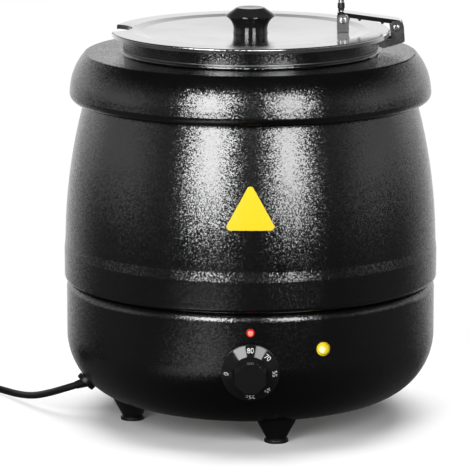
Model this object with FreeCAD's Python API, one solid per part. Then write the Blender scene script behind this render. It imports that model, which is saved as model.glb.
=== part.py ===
import FreeCAD, Part
import math
import os

# A round electric soup kettle. The vertical axis of the kettle is Z, the floor is at height 0,
# the dial faces -Y and the lid's hinge is at +X. All sizes are in millimetres.

V = FreeCAD.Vector
ORIGIN = V(0, 0, 0)
UP = V(0, 0, 1)
DOWN = V(0, 0, -1)

# Casing
WALL = 1.2                  # painted steel sheet
PAN_LOW = 20.0              # underside of the base pan
PAN_R = 168.0
PAN_CORNER = 60.0           # large radius between the pan's bottom and its side
PAN_SHOULDER = 8.0
PAN_OPENING_R = 84.0
SEAM_Z = 129.5              # where the barrel stands on the base pan
FLANGE_R = 149.0            # inner edge of the two flanges that meet at the seam
SEAM_GAP = 0.1
BAND_R = 169.9              # proud band at the foot of the barrel
BAND_TOP_Z = 157.5
BARREL_FOOT = (169.0, 166.5)
BARREL_BEND = (167.4, 230.0)
BARREL_BEND_R = 490.0
BARREL_TOP = (149.6, 298.0)
NECK_R = 115.0
NECK_TOP_Z = 340.0
COLLAR_TOP_Z = 336.5
COLLAR_EDGE_R = 150.0
COLLAR_BULGE = (161.9, 322.8)
COLLAR_BULGE_R = 52.0
COLLAR_LOW = (164.9, 293.1)
COLLAR_LOW_R = 7.5
COLLAR_HEM_R = 151.8

# Well, pot and lid ring
SHEET = 1.0                 # stainless sheet
WELL_R = 111.0
WELL_LOW = 58.0
WELL_RIM = (113.5, 338.0)
POT_R = 106.4
POT_LOW = 72.0
POT_RIM = (115.6, 340.1)
RING_R = 115.2
RING_IN_R = 103.8
RING_LOW = 341.4
RING_TOP = 352.3
RING_SKIRT_LOW = 331.0

# Lid
LID_SHEET = 0.8
LID_R = 126.0
LID_EDGE_LOW = 352.4
LID_RIM_Z = 356.7
LID_DIP = (97.0, 107.0)     # inner and outer radius of the gentle dip inside the rim
LID_DISH_Z = 355.35         # height of the disc at the foot of the dip
LID_SEAT = 355.2            # height of the disc under the hinge bracket
LID_FLAT_R = 20.0
LID_TOP = 353.6             # flat middle of the disc, under the knob
LID_FLOOR = LID_TOP - LID_SHEET
NOTCH_CENTRE = V(-132, 9, 0)
NOTCH_R = 25.0
NOTCH_LIP = (352.7, 356.2)  # the lip turned down along the notch, low and high
KNOB_BASE = LID_TOP + 0.05
KNOB_TOP = 376.8

# Hinge: both pins lie along Y
RING_PIN = (131.7, 359.7)
LID_PIN = (83.6, 366.5)
PIN_R = 2.5
PIN_HOLE_R = 2.52
ARM_BORE_R = 2.56
PIN_HEAD_R = 3.3
CHEEK_IN = 10.1
CHEEK_OUT = 11.6
ARM_HALF = 9.6
ARM_SHEET = 1.5
RIVET_R = 1.5
RIVET_HOLE_R = 1.55
RIVET_Y = 5.0
RIVET_Z = 346.5             # rivets between the ring and its bracket

# Dial and lamps on the base pan
DIAL_Z = 77.5
DIAL_STAND_OFF = 1.5        # from the pan to the back of the dial
DIAL_TILT = 5.0             # degrees that the dial looks down
DIAL_R = 25.6
GRIP_BACK = 30.0            # across the flats
GRIP_FRONT = 27.2
GRIP_SIDES = 8
DIAL_DEEP = 20.5
SHAFT_R = 2.94
SHAFT_BORE_R = 3.02
RED_LAMP_Z = 112.5
RED_LAMP_R = 3.75
AMBER_LAMP_Z = 95.5
AMBER_LAMP_AZIMUTH = 22.3   # degrees to the right of the front
AMBER_LAMP_R = 6.25

# Feet
FOOT_CIRCLE_R = 110.5
FOOT_GAP = 0.05             # between a foot and the pan that it stands under
FOOT_AZIMUTHS = {"front": -78.0, "right": 22.0, "back": 102.0, "left": 192.0}

# Mains cord: it leaves the lower left of the pan, comes down to the floor and lies in a tied coil
CORD_D = 6.5
GLAND_AZIMUTH = 190.5
GLAND_SLOPE = 44.5          # degrees below the horizontal, square to the pan's lower bend
NOSE_AZIMUTH = 160.0        # the bush is cranked, and its nose lies flatter
NOSE_SLOPE = 20.0
NOSE_LONG = 9.4
LEAD_STRAIGHT = 14.0
LEAD_POINTS = [
    (-184.5, -4.0, 19.9),
    (-200.5, 18.0, 11.7),
    (-216.5, 45.0, 6.6),
]
COIL_CENTRE = V(-286.2, 64.2, 4.9)
COIL_ENTRY = 41.3           # degrees round the coil where the lead joins it
COIL_EXIT = 180.0
COIL_TURNS = 5              # whole turns between entry and exit, besides the part turn
COIL_INNER_R = 26.0
COIL_PITCH = 7.1            # from one turn to the next
COIL_STEP = 7.0             # from one layer to the next
COIL_ARCS = 10              # pairs of arcs in each layer
TAIL_STEPS = [(-0.3, -27.0, 3.4), (0.0, -41.0, 6.6), (0.0, -54.0, 6.6)]
PLUG_R = 18.2
PLUG_LONG = 46.0
PIN_SPACING = 19.0


def vector(point):
    return V(point[0], point[1], point[2])


def rounded_edges(corners):
    """Straight edges through corners (across, height, fillet), with a tangent arc at each fillet."""
    points = [V(corner[0], 0, corner[1]) for corner in corners]
    edges = []
    last = points[0]
    for index in range(1, len(points) - 1):
        fillet = corners[index][2] if len(corners[index]) > 2 else 0
        start = points[index]
        end = points[index]
        if fillet:
            back = (points[index - 1] - points[index]).normalize()
            ahead = (points[index + 1] - points[index]).normalize()
            half = back.getAngle(ahead) / 2
            start = points[index] + back * (fillet / math.tan(half))
            end = points[index] + ahead * (fillet / math.tan(half))
            centre = points[index] + (back + ahead).normalize() * (fillet / math.sin(half))
            middle = centre + (points[index] - centre).normalize() * fillet
        edges.append(Part.LineSegment(last, start).toShape())
        if fillet:
            edges.append(Part.Arc(start, middle, end).toShape())
        last = end
    edges.append(Part.LineSegment(last, points[-1]).toShape())
    return edges


def outline_face(corners):
    """A closed outline with rounded corners, in the plane of X and Z."""
    seam = [(corners[0][0] + corners[1][0]) / 2, (corners[0][1] + corners[1][1]) / 2]
    loop = [seam] + list(corners[1:]) + [corners[0], seam]
    return Part.Face(Part.Wire(rounded_edges(loop)))


def spun(corners, wall):
    """Sheet metal spun round Z: the corners are its outside, and the wall lies on the inner side."""
    line = Part.Wire(rounded_edges(corners))
    sections = [line.makeOffset2D(step, join=0, fill=True, openResult=True) for step in (wall, -wall)]
    sheets = [section.revolve(ORIGIN, UP, 360) for section in sections]
    return min(sheets, key=lambda sheet: sheet.Volume)


def turned(corners):
    """A solid of revolution round Z from a closed outline."""
    return outline_face(corners).revolve(ORIGIN, UP, 360)


def plate(corners, start_y, end_y):
    """A flat plate cut to an outline in X and Z, between two places along Y."""
    face = outline_face(corners)
    face.translate(V(0, start_y, 0))
    return face.extrude(V(0, end_y - start_y, 0))


def rod(start, direction, radius, length):
    return Part.makeCylinder(radius, length, start, direction)


def block(low, high):
    size = vector(high) - vector(low)
    return Part.makeBox(size.x, size.y, size.z, vector(low))


def hex_nut(base, direction, across, thick, bore):
    corner = across / math.sqrt(3)
    points = [V(corner * math.cos(math.radians(60 * k)), corner * math.sin(math.radians(60 * k)), 0)
              for k in range(7)]
    nut = Part.Face(Part.makePolygon(points)).extrude(UP * thick)
    nut = nut.cut(rod(ORIGIN, UP, bore, thick))
    return placed(nut, base, direction)


def placed(shape, origin, direction):
    """Move a shape from the origin, turned so that its Z axis points in the given direction."""
    moved = shape.copy()
    moved.Placement = FreeCAD.Placement(origin, FreeCAD.Rotation(UP, direction))
    return moved


def around(azimuth, radius, height):
    angle = math.radians(azimuth)
    return V(radius * math.cos(angle), radius * math.sin(angle), height)


def falling(azimuth, slope):
    """The direction that leaves the axis at an azimuth and falls at a slope."""
    return around(azimuth, math.cos(math.radians(slope)), -math.sin(math.radians(slope)))


def fused(shapes):
    return shapes[0].multiFuse(shapes[1:]).removeSplitter()


def group(shapes):
    return Part.makeCompound(shapes)


def bend_route(points, name):
    """Straight runs joined by tangent arcs as large as the runs allow."""
    edges = []
    radii = []
    last = points[0]
    for index in range(1, len(points) - 1):
        back = points[index - 1] - points[index]
        ahead = points[index + 1] - points[index]
        reach = 0.45 * min(back.Length, ahead.Length)
        back.normalize()
        ahead.normalize()
        half = back.getAngle(ahead) / 2
        radius = reach * math.tan(half)
        radii.append(round(radius, 1))
        start = points[index] + back * reach
        end = points[index] + ahead * reach
        centre = points[index] + (back + ahead).normalize() * (radius / math.sin(half))
        middle = centre + (points[index] - centre).normalize() * radius
        edges.append(Part.LineSegment(last, start).toShape())
        edges.append(Part.Arc(start, middle, end).toShape())
        last = end
    edges.append(Part.LineSegment(last, points[-1]).toShape())
    print(name, "bend radii", radii)
    return Part.Wire(edges)


def tube_along(path, diameter, name):
    """A round tube along a smooth wire, with its volume set against section times length."""
    first = path.Edges[0]
    start = first.valueAt(first.FirstParameter)
    heading = first.tangentAt(first.FirstParameter)
    ring = Part.Wire(Part.Circle(start, heading, diameter / 2).toShape())
    shell = Part.BRepOffsetAPI.MakePipeShell(path)
    shell.add(ring)
    shell.build()
    shell.makeSolid()
    tube = shell.shape()
    ideal = math.pi * diameter ** 2 / 4 * path.Length
    print(name, "length", round(path.Length, 1), "volume share", round(tube.Volume / ideal, 4))
    return tube


def tube(points, diameter, name):
    return tube_along(bend_route([vector(p) for p in points], name), diameter, name)


# Places on the base pan where things pass through its wall

DIAL_OUT = V(0, -math.cos(math.radians(DIAL_TILT)), -math.sin(math.radians(DIAL_TILT)))
DIAL_BACK = V(0, -(PAN_R + DIAL_STAND_OFF), DIAL_Z)
RED_SPOT = V(0, -PAN_R, RED_LAMP_Z)
RED_OUT = V(0, -1, 0)
AMBER_SPOT = around(AMBER_LAMP_AZIMUTH - 90, PAN_R, AMBER_LAMP_Z)
AMBER_OUT = around(AMBER_LAMP_AZIMUTH - 90, 1, 0)
GLAND_OUT = falling(GLAND_AZIMUTH, GLAND_SLOPE)
GLAND_SPOT = around(GLAND_AZIMUTH, PAN_R - PAN_CORNER, PAN_LOW + PAN_CORNER) + GLAND_OUT * PAN_CORNER
NOSE_OUT = falling(NOSE_AZIMUTH, NOSE_SLOPE)
NOSE_ROOT = GLAND_SPOT + GLAND_OUT * 3.6
CORD_EXIT = NOSE_ROOT + NOSE_OUT * NOSE_LONG

LAMP_SHANK_R = 4.8
GLAND_BARREL_R = 6.0
POST_X = 14.0
SEAM_SCREW_R = 156.0
SEAM_SCREW_AZIMUTHS = [45, 135, 225, 315]
PLATE_SCREW_R = 87.5
PLATE_SCREW_AZIMUTHS = [0, 90, 180, 270]
EARTH_SPOT = V(-102, 51, 21.8)


def at_dial(shape):
    """Place a shape made round Z so that it points out of the dial's centre, with its Y axis up."""
    turn = FreeCAD.Rotation(V(1, 0, 0), 90 + DIAL_TILT)
    moved = shape.copy()
    moved.Placement = FreeCAD.Placement(DIAL_BACK, turn)
    return moved


def base_pan():
    pan = spun([(PAN_OPENING_R, PAN_LOW), (PAN_R, PAN_LOW, PAN_CORNER), (PAN_R, SEAM_Z, PAN_SHOULDER),
                (FLANGE_R, SEAM_Z)], WALL)
    holes = [at_dial(rod(V(0, 0, -8), UP, 4.5, 9))]
    holes += [at_dial(rod(V(side * POST_X, 0, -8), UP, 2.2, 9)) for side in (-1, 1)]
    holes.append(rod(RED_SPOT - RED_OUT * 4, RED_OUT, RED_LAMP_R + 0.1, 8))
    holes.append(rod(AMBER_SPOT - AMBER_OUT * 4, AMBER_OUT, LAMP_SHANK_R + 0.1, 8))
    holes.append(rod(GLAND_SPOT - GLAND_OUT * 4, GLAND_OUT, GLAND_BARREL_R + 0.2, 8))
    holes += [rod(around(a, FOOT_CIRCLE_R, PAN_LOW - 2), UP, 2.2, 6) for a in FOOT_AZIMUTHS.values()]
    holes += [rod(around(a, SEAM_SCREW_R, SEAM_Z - 4), UP, 2.2, 6) for a in SEAM_SCREW_AZIMUTHS]
    holes += [rod(around(a, PLATE_SCREW_R, PAN_LOW - 2), UP, 1.5, 6) for a in PLATE_SCREW_AZIMUTHS]
    return pan.cut(holes)


def barrel_shell():
    foot = SEAM_Z + SEAM_GAP
    shell = spun([(FLANGE_R, foot), (BAND_R, foot, 4), (BAND_R, BAND_TOP_Z, 10), (*BARREL_FOOT, 10),
                  (*BARREL_BEND, BARREL_BEND_R), BARREL_TOP], WALL)
    return shell.cut([rod(around(a, SEAM_SCREW_R, foot - 2), UP, 2.2, 6) for a in SEAM_SCREW_AZIMUTHS])


def collar():
    return spun([(NECK_R, NECK_TOP_Z), (NECK_R, COLLAR_TOP_Z, 2), (COLLAR_EDGE_R, COLLAR_TOP_Z, 2.5),
                 (*COLLAR_BULGE, COLLAR_BULGE_R), (*COLLAR_LOW, COLLAR_LOW_R), (COLLAR_HEM_R, COLLAR_LOW[1])], WALL)


def casing_screws():
    solids = []
    for azimuth in SEAM_SCREW_AZIMUTHS:
        head = rod(around(azimuth, SEAM_SCREW_R, SEAM_Z - WALL - 2.6), UP, 3.8, 2.5)
        shank = rod(around(azimuth, SEAM_SCREW_R, SEAM_Z - WALL - 0.2), UP, 2.0, 9)
        solids.append(fused([head, shank]))
        nut_z = SEAM_Z + SEAM_GAP + WALL + 0.1
        solids.append(hex_nut(around(azimuth, SEAM_SCREW_R, nut_z), UP, 7.0, 3.2, 2.05))
    return group(solids)


def water_well():
    return spun([WELL_RIM, (WELL_R, WELL_RIM[1], 1.2), (WELL_R, WELL_LOW, 20), (0, WELL_LOW)], SHEET)


ELEMENT_R = 70.0
ELEMENT_TUBE_R = 4.0
ELEMENT_Z = WELL_LOW - ELEMENT_TUBE_R - 0.1
ELEMENT_GAP = 30.0          # degrees left open at the front
ELEMENT_END_R = 84.0


def heating_element():
    """A tubular ring under the well, open at the front, with a cold pin at each end."""
    section = Part.Face(Part.Wire(Part.Circle(V(ELEMENT_R, 0, ELEMENT_Z), V(0, 1, 0), ELEMENT_TUBE_R).toShape()))
    ring = section.revolve(ORIGIN, UP, 360 - ELEMENT_GAP)
    ring.rotate(ORIGIN, UP, -90 + ELEMENT_GAP / 2)
    pins = []
    for azimuth in (-90 + ELEMENT_GAP / 2 + 2, -90 - ELEMENT_GAP / 2 - 2):
        start = around(azimuth, ELEMENT_R, ELEMENT_Z)
        pins.append(rod(start, around(azimuth, 1, 0), 1.8, ELEMENT_END_R - ELEMENT_R))
    return fused([ring] + pins)


CLAMP_BAR_LOW = 46.7
CLAMP_BAR_TOP = 49.7
SHIELD_Z = 40.0


def clamp_bar():
    bar = plate([(-80, CLAMP_BAR_LOW, 1), (80, CLAMP_BAR_LOW, 1), (80, CLAMP_BAR_TOP, 1), (-80, CLAMP_BAR_TOP, 1)],
                -8, 8)
    return bar.cut(rod(V(0, 0, CLAMP_BAR_LOW - 1), UP, 3.2, 6))


def clamp_stud():
    return rod(V(0, 0, 34), UP, 3.0, WELL_LOW - 34)


def clamp_nuts():
    upper = hex_nut(V(0, 0, 42.5), UP, 10, 4.1, 3.05)
    lower = hex_nut(V(0, 0, 35.6), UP, 10, 4.3, 3.05)
    return group([upper, lower])


def heat_shield():
    dish = spun([(0, SHIELD_Z), (118, SHIELD_Z, 3), (118, SHIELD_Z + 12)], 0.8)
    return dish.cut(rod(V(0, 0, SHIELD_Z - 2), UP, 3.3, 5))


def thermal_cutout():
    cap = rod(V(0, 36, 50), UP, 8.5, WELL_LOW - 50.1)
    stem = rod(V(0, 36, 45), UP, 6.0, 5.5)
    return fused([cap, stem])


def thermostat_body():
    """A box behind the dial, with a neck round the shaft and two posts for its screws."""
    box = block((-17, -18, -42), (17, 18, -8.5))
    neck = rod(V(0, 0, -9), UP, 5, 5.8)
    posts = [rod(V(side * POST_X, 0, -9), UP, 4, 5.2) for side in (-1, 1)]
    body = fused([box, neck] + posts)
    bores = [rod(V(0, 0, -16), UP, SHAFT_BORE_R, 14)]
    bores += [rod(V(side * POST_X, 0, -14), UP, 2.05, 12) for side in (-1, 1)]
    return at_dial(body.cut(bores))


def thermostat_screws():
    screws = []
    for side in (-1, 1):
        head = rod(V(side * POST_X, 0, -1.4), UP, 3.4, 1.1)
        shank = rod(V(side * POST_X, 0, -13), UP, 2.0, 12)
        screws.append(at_dial(fused([head, shank])))
    return group(screws)


def thermostat_shaft():
    return at_dial(rod(V(0, 0, -14), UP, SHAFT_R, 26))


def octagon(across, height):
    corner = across / 2 / math.cos(math.pi / GRIP_SIDES)
    points = [V(corner * math.cos(math.pi * (2 * k + 1) / GRIP_SIDES),
                corner * math.sin(math.pi * (2 * k + 1) / GRIP_SIDES), height) for k in range(GRIP_SIDES + 1)]
    return Part.makePolygon(points)


def dial_knob():
    """A conical skirt, which carries the numbers, under an eight-sided grip."""
    skirt = turned([(0, 0), (DIAL_R, 0), (DIAL_R, 1.8, 0.5), (16.6, 7.2), (0, 7.2)])
    grip = Part.makeLoft([octagon(GRIP_BACK, 5), octagon(GRIP_FRONT, DIAL_DEEP - 0.7)], True, True)
    face = Part.makeLoft([octagon(GRIP_FRONT, DIAL_DEEP - 0.7), octagon(GRIP_FRONT - 1.4, DIAL_DEEP)], True, True)
    knob = fused([skirt, grip, face])
    return at_dial(knob.cut(rod(V(0, 0, -1), UP, 3.0, 14)))


SENSOR_AZIMUTH = -60.0
SENSOR_SPOT = around(SENSOR_AZIMUTH, WELL_R + 3.7, 70)


def sensor_bulb():
    return rod(SENSOR_SPOT, UP, 3.5, 60)


def bulb_clip():
    clip = block((-7, -5, 0), (7, 6, 10))
    clip.rotate(ORIGIN, UP, SENSOR_AZIMUTH - 90)
    clip.translate(SENSOR_SPOT + UP * 25)
    return clip.cut([rod(SENSOR_SPOT, UP, 3.6, 60), rod(V(0, 0, WELL_LOW), UP, WELL_R + 1.2, 120)])


def capillary():
    top = SENSOR_SPOT + UP * 60
    route = [top, top + UP * 14, (47, -113, 157), (29, -131, 150), (13, -141.5, 131), (8, -142.6, 114),
             (8, -141.25, 98.1)]
    return tube(route, 1.8, "capillary")


def terminal_block():
    body = block((-106, 4, 21.4), (-84, 40, 35.4))
    pits = [rod(V(x, y, 31), UP, 2.2, 6) for x in (-101, -89) for y in (10, 22, 34)]
    return body.cut(pits)


def earth_stud():
    stud = rod(EARTH_SPOT, UP, 2.0, 14)
    nut = hex_nut(EARTH_SPOT + UP * 3.5, UP, 7, 3.2, 2.05)
    return group([stud, nut])


def wiring():
    """Insulated leads from the cord's inner end to the terminals, and on to the thermostat and element."""
    inner = GLAND_SPOT - GLAND_OUT * 12
    element_end = around(-90 + ELEMENT_GAP / 2 + 2, ELEMENT_END_R + 0.4, ELEMENT_Z)
    element_far = around(-90 - ELEMENT_GAP / 2 - 2, ELEMENT_END_R + 0.4, ELEMENT_Z)
    routes = {
        "live": [inner + V(0, -3, 0), (-136, -24, 48.5), (-128, -12, 45), (-118, 2, 35), (-107.2, 12, 28)],
        "neutral": [inner, (-136, -20.5, 48.5), (-129, -4, 45), (-119, 13, 35), (-107.2, 24, 28)],
        "earth": [inner + V(0, 3, 0), (-136, -17, 48.5), (-131, 8, 44), (-119, 34, 35), (-104.6, 48.6, 31.2)],
        "to_thermostat": [(-91, 3.6, 28), (-90, -22, 28), (-82, -58, 28), (-58, -93, 29), (-30, -123, 38),
                          (-11, -138, 50), (-8, -140.1, 61.4)],
        "to_element": [(8, -140.1, 61.4), (9.5, -138, 56.8), (15, -127, 54.8), (22.5, -108, 54.4),
                       (25.6, -94, 54.0), element_end],
        "from_element": [element_far, (-25.8, -95, 54.2), (-36, -115, 55), (-54, -122, 49), (-79, -106, 36),
                         (-97, -70, 28.5), (-100.5, -34, 28.5), (-99, 3.6, 28)],
        "to_cutout": [(0, 42.4, 47.6), (1.5, 62, 47), (8, 92, 50.5), (14, 112, 55.2), (15, 128, 50),
                      (-4, 136, 39), (-42, 121, 31), (-80, 82, 29), (-94, 58, 28.4), (-95, 40.4, 28)],
    }
    return group([tube(points, 2.4, "wire " + name) for name, points in routes.items()])


def red_lamp_lens():
    lens = turned([(0, -6), (RED_LAMP_R, -6), (RED_LAMP_R, 2.9, 2.6), (0, 3.1)])
    return placed(lens, RED_SPOT, RED_OUT)


def red_lamp_holder():
    return placed(turned([(0, -26), (5, -26, 0.6), (5, -6.1), (0, -6.1)]), RED_SPOT, RED_OUT)


def amber_lamp_lens():
    lens = turned([(0, -8), (LAMP_SHANK_R, -8), (LAMP_SHANK_R, 0.2), (AMBER_LAMP_R, 0.2), (AMBER_LAMP_R, 1.5, 0.5),
                   (4.9, 1.7), (4.6, 3.4, 1.2), (0, 3.7)])
    return placed(lens, AMBER_SPOT, AMBER_OUT)


def amber_lamp_holder():
    return placed(turned([(0, -30), (7, -30, 0.6), (7, -8.1), (0, -8.1)]), AMBER_SPOT, AMBER_OUT)


def lamp_clips():
    """A push-on ring behind the wall on each lamp."""
    red = turned([(RED_LAMP_R + 0.1, -3.4), (6.4, -3.4), (6.4, -1.6), (RED_LAMP_R + 0.1, -1.6)])
    amber = turned([(LAMP_SHANK_R + 0.1, -3.6), (8.2, -3.6), (8.2, -1.7), (LAMP_SHANK_R + 0.1, -1.7)])
    return group([placed(red, RED_SPOT, RED_OUT), placed(amber, AMBER_SPOT, AMBER_OUT)])


PLATE_LOW = PAN_LOW - 0.1 - WALL


def bottom_plate():
    disc = rod(V(0, 0, PLATE_LOW), UP, 91, WALL)
    vents = [rod(around(30 * k, 55, PLATE_LOW - 1), UP, 4, 4) for k in range(12)]
    holes = [rod(around(a, PLATE_SCREW_R, PLATE_LOW - 1), UP, 1.5, 4) for a in PLATE_SCREW_AZIMUTHS]
    return disc.cut(vents + holes)


def bottom_screws():
    screws = []
    for azimuth in PLATE_SCREW_AZIMUTHS:
        head = rod(around(azimuth, PLATE_SCREW_R, PLATE_LOW - 1.8), UP, 2.7, 1.75)
        shank = rod(around(azimuth, PLATE_SCREW_R, PLATE_LOW - 0.2), UP, 1.4, 6)
        screws.append(fused([head, shank]))
    return group(screws)


def foot(azimuth):
    """A black cone that narrows downwards onto a small round pad, with a deep screw hole from below."""
    cone = turned([(4.6, 0), (10.8, 0, 0.5), (10.8, 2.6, 0.8), (9.2, 4.0), (21.0, 26.0), (2.2, 26.0), (2.2, 9.0),
                   (4.6, 9.0)])
    cone.translate(around(azimuth, FOOT_CIRCLE_R, 0))
    low = PAN_LOW - FOOT_GAP
    reach = PAN_R + FOOT_GAP
    pan = turned([(0, low), (reach, low, PAN_CORNER + FOOT_GAP), (reach, SEAM_Z), (0, SEAM_Z)])
    return cone.cut(pan)


def foot_screws():
    screws = []
    for azimuth in FOOT_AZIMUTHS.values():
        head = rod(around(azimuth, FOOT_CIRCLE_R, 5.6), UP, 4.2, 3.35)
        shank = rod(around(azimuth, FOOT_CIRCLE_R, 8.5), UP, 2.0, 18.5)
        screws.append(fused([head, shank]))
    return group(screws)


def foot_nuts():
    return group([hex_nut(around(a, FOOT_CIRCLE_R, PAN_LOW + WALL + 0.5), UP, 7, 3.2, 2.05)
                  for a in FOOT_AZIMUTHS.values()])


def inner_pot():
    return spun([POT_RIM, (POT_R, POT_RIM[1], 1.5), (POT_R, POT_LOW, 18), (0, POT_LOW)], SHEET)


def lid_ring():
    ring = spun([(RING_R, RING_LOW), (RING_R, RING_TOP, 1.6), (RING_IN_R, RING_TOP, 1.6),
                 (RING_IN_R, RING_SKIRT_LOW)], WALL)
    return ring.cut([rod(V(110, side * RIVET_Y, RIVET_Z), V(1, 0, 0), RIVET_HOLE_R, 8) for side in (-1, 1)])


def pin_with_heads(place):
    """A plain pin along Y with a dome on both ends."""
    tip = CHEEK_OUT + 2.0
    pin = turned([(0, -tip), (PIN_HEAD_R, -tip + 0.2, 1.3), (PIN_HEAD_R, -CHEEK_OUT - 0.1),
                  (PIN_R, -CHEEK_OUT - 0.1), (PIN_R, CHEEK_OUT + 0.1), (PIN_HEAD_R, CHEEK_OUT + 0.1),
                  (PIN_HEAD_R, tip - 0.2, 1.3), (0, tip)])
    return placed(pin, V(place[0], 0, place[1]), V(0, 1, 0))


def ring_bracket():
    """A channel fixed to the lid ring, whose two cheeks rise outside the lid to the hinge pin."""
    cheek = [(115.7, 342.5), (120.5, 341.0, 1.0), (139.4, 346.6, 2.5), (138.0, 366.0, 6.1), (125.4, 366.0, 6.1),
             (127.0, 352.9, 1.5), (127.0, 349.0, 0.8), (115.7, 349.0)]
    web = [(115.7, 342.5), (120.5, 341.0), (138.4, 346.3), (138.0, 347.75), (120.7, 342.6), (117.2, 343.7),
           (117.2, 349.0), (115.7, 349.0)]
    bracket = fused([plate(cheek, -CHEEK_OUT, -CHEEK_IN), plate(cheek, CHEEK_IN, CHEEK_OUT),
                     plate(web, -CHEEK_IN, CHEEK_IN)])
    holes = [rod(V(RING_PIN[0], -20, RING_PIN[1]), V(0, 1, 0), PIN_HOLE_R, 40)]
    holes += [rod(V(114, side * RIVET_Y, RIVET_Z), V(1, 0, 0), RIVET_HOLE_R, 6) for side in (-1, 1)]
    return bracket.cut(holes)


def ring_rivets():
    rivets = []
    for side in (-1, 1):
        rivet = turned([(0, -1.6), (2.3, -1.6), (2.3, -0.3), (RIVET_R, -0.3), (RIVET_R, 3.6), (2.5, 3.6),
                        (2.5, 4.9, 0.9), (0, 5.1)])
        rivets.append(placed(rivet, V(113.7, side * RIVET_Y, RIVET_Z), V(1, 0, 0)))
    return group(rivets)


def hinge_arm():
    """A channel, open underneath, from the ring pin to the lid pin, curled down at its outer end."""
    outside = [(78.6, 373.9, 1.5), (136.4, 366.0, 4.5), (138.1, 357.6, 1.2), (127.6, 355.2, 2.5), (126.8, 363.2),
               (89.8, 368.4), (88.4, 361.8, 3.5), (78.9, 361.8, 3.5)]
    inside = [(70, 373.5), (78.6, 372.35), (135.0, 364.6, 3.2), (137.0, 350), (70, 350)]
    lugs = [rod(V(x, -ARM_HALF, z), V(0, 1, 0), 1.4, 2 * ARM_HALF) for x, z in ((98.5, 367.0), (119.0, 364.1))]
    arm = fused([plate(outside, -ARM_HALF, ARM_HALF)] + lugs)
    hollow = plate(inside, ARM_SHEET - ARM_HALF, ARM_HALF - ARM_SHEET)
    bores = [rod(V(pin[0], -20, pin[1]), V(0, 1, 0), ARM_BORE_R, 40) for pin in (RING_PIN, LID_PIN)]
    return arm.cut([hollow, rod(V(82, 0, 360), UP, 2.05, 30)] + bores)


STUD_X = 82.0
STUD_TOP = 386.0
ARM_TOP_AT_STUD = 373.45


def bumper_stud():
    stud = turned([(0, 369.4), (3.6, 369.4), (3.6, 371.1), (2.0, 371.1), (2.0, STUD_TOP - 5), (2.6, STUD_TOP - 5),
                   (2.6, STUD_TOP, 1.6), (0, STUD_TOP)])
    stud.translate(V(STUD_X, 0, 0))
    return stud


def bumper_sleeve():
    low = ARM_TOP_AT_STUD + 0.3
    sleeve = turned([(2.05, low), (2.7, low), (2.7, low + 2.0), (3.3, low + 2.6), (3.1, STUD_TOP - 5.1, 0.4),
                     (2.05, STUD_TOP - 5.1)])
    sleeve.translate(V(STUD_X, 0, 0))
    return sleeve


def lid():
    """A slightly dished polished disc inside a flat rim, turned down at its edge and along the ladle's notch."""
    sheet = spun([(LID_R, LID_EDGE_LOW), (LID_R, LID_RIM_Z, 1.2), (LID_DIP[1], LID_RIM_Z, 12),
                  (LID_DIP[0], LID_DISH_Z, 12), (LID_FLAT_R, LID_TOP, 30), (0, LID_TOP)], LID_SHEET)
    lip_high = NOTCH_LIP[1] - NOTCH_LIP[0]
    lip = rod(NOTCH_CENTRE + UP * NOTCH_LIP[0], UP, NOTCH_R + LID_SHEET, lip_high)
    lip = lip.common(rod(UP * NOTCH_LIP[0], UP, LID_R - LID_SHEET / 2, lip_high))
    holes = [rod(NOTCH_CENTRE + UP * (LID_EDGE_LOW - 2), UP, NOTCH_R, 12), rod(V(0, 0, LID_FLOOR - 1), UP, 2.7, 4)]
    holes += [rod(V(LID_PIN[0], side * RIVET_Y, LID_FLOOR - 1), UP, RIVET_HOLE_R, 4) for side in (-1, 1)]
    return fused([sheet, lip]).cut(holes)


def lid_knob():
    knob = turned([(0, KNOB_BASE), (15.8, KNOB_BASE), (14.4, 362.8, 13.5), (22.4, 369.1, 0.6), (21.9, 370.4, 0.6),
                   (12.5, KNOB_TOP, 2.5), (0, KNOB_TOP - 0.4)])
    return knob.cut(rod(V(0, 0, KNOB_BASE - 1), UP, 2.45, 14))


def knob_washer():
    return rod(V(0, 0, LID_FLOOR - 1.1), UP, 8, 1).cut(rod(V(0, 0, LID_FLOOR - 2), UP, 2.7, 3))


def knob_screw():
    head = rod(V(0, 0, LID_FLOOR - 4.6), UP, 4.6, 3.4)
    shank = rod(V(0, 0, LID_FLOOR - 2), UP, 2.4, 14)
    return fused([head, shank])


def lid_bracket():
    base = LID_SEAT + 0.05
    cheek = [(78.4, base), (88.8, base), (88.8, 371.7, 5.1), (78.4, 371.7, 5.1)]
    bracket = fused([plate(cheek, -CHEEK_OUT, -CHEEK_IN), plate(cheek, CHEEK_IN, CHEEK_OUT),
                     block((78.4, -CHEEK_IN, base), (88.8, CHEEK_IN, base + 1.2))])
    holes = [rod(V(LID_PIN[0], -20, LID_PIN[1]), V(0, 1, 0), PIN_HOLE_R, 40)]
    holes += [rod(V(LID_PIN[0], side * RIVET_Y, base - 1), UP, RIVET_HOLE_R, 4) for side in (-1, 1)]
    return bracket.cut(holes)


def lid_rivets():
    top = LID_SEAT + 1.3
    under = LID_SEAT - LID_SHEET - 0.3
    rivets = []
    for side in (-1, 1):
        rivet = turned([(0, under - 1.3), (2.3, under - 1.3), (2.3, under), (RIVET_R, under), (RIVET_R, top),
                        (2.5, top), (2.5, top + 1.2, 0.8), (0, top + 1.4)])
        rivet.translate(V(LID_PIN[0], side * RIVET_Y, 0))
        rivets.append(rivet)
    return group(rivets)


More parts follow.
